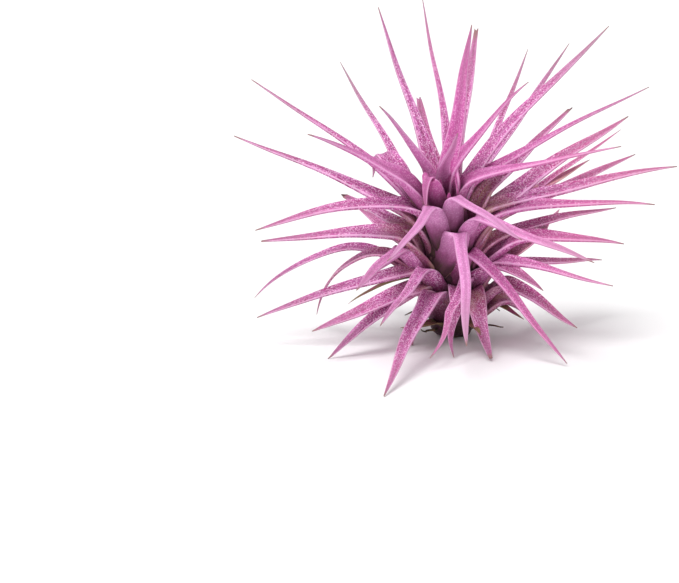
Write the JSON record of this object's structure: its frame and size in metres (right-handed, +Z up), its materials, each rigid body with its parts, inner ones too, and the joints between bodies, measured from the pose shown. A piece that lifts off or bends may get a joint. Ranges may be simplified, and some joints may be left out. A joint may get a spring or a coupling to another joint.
{
  "type": "guatemala ionantha air plant",
  "caption": "Small round rosette of stiff, tapering, channelled leaves on a short woody stem with dry old leaves and a few wiry roots.",
  "frame": {"origin": "on the surface that the plant lies on, in the middle of its footprint", "axes": "+Z up; +X to the right of someone who faces the plant's heart; +Y away from them, so the heart leans towards -Y"},
  "size_m": [0.1054, 0.0924, 0.0799],
  "materials": {
    "leaf": "matt, dyed orchid pink, with a fine scaly grain",
    "stem": "dry, fibrous, brown"
  },
  "bodies": {
    "root": {"stem": "stem", "bud": "leaf", "leaf_01": "leaf", "leaf_02": "leaf", "leaf_03": "leaf", "leaf_04": "leaf", "leaf_05": "leaf", "leaf_06": "leaf", "leaf_07": "leaf", "leaf_08": "leaf", "leaf_09": "leaf", "leaf_10": "leaf", "leaf_11": "leaf", "leaf_12": "leaf", "leaf_13": "leaf", "leaf_14": "leaf", "leaf_15": "leaf", "leaf_16": "leaf", "leaf_17": "leaf", "leaf_18": "leaf", "leaf_19": "leaf", "leaf_20": "leaf", "leaf_21": "leaf", "leaf_22": "leaf", "leaf_23": "leaf", "leaf_24": "leaf", "leaf_25": "leaf", "leaf_26": "leaf", "leaf_27": "leaf", "leaf_28": "leaf", "leaf_29": "leaf", "leaf_30": "leaf", "leaf_31": "leaf", "leaf_32": "leaf", "leaf_33": "leaf", "leaf_34": "leaf", "leaf_35": "leaf", "leaf_36": "leaf", "leaf_37": "leaf", "leaf_38": "leaf", "leaf_39": "leaf", "leaf_40": "leaf", "leaf_41": "leaf", "leaf_42": "leaf", "leaf_43": "leaf", "leaf_44": "leaf", "leaf_45": "leaf", "leaf_46": "leaf", "leaf_47": "leaf", "leaf_48": "leaf", "leaf_49": "leaf", "leaf_50": "leaf", "leaf_51": "leaf", "leaf_52": "leaf", "leaf_53": "leaf", "leaf_54": "leaf", "leaf_55": "leaf", "leaf_56": "leaf", "leaf_57": "leaf", "leaf_58": "leaf"}
  },
  "joints": []
}
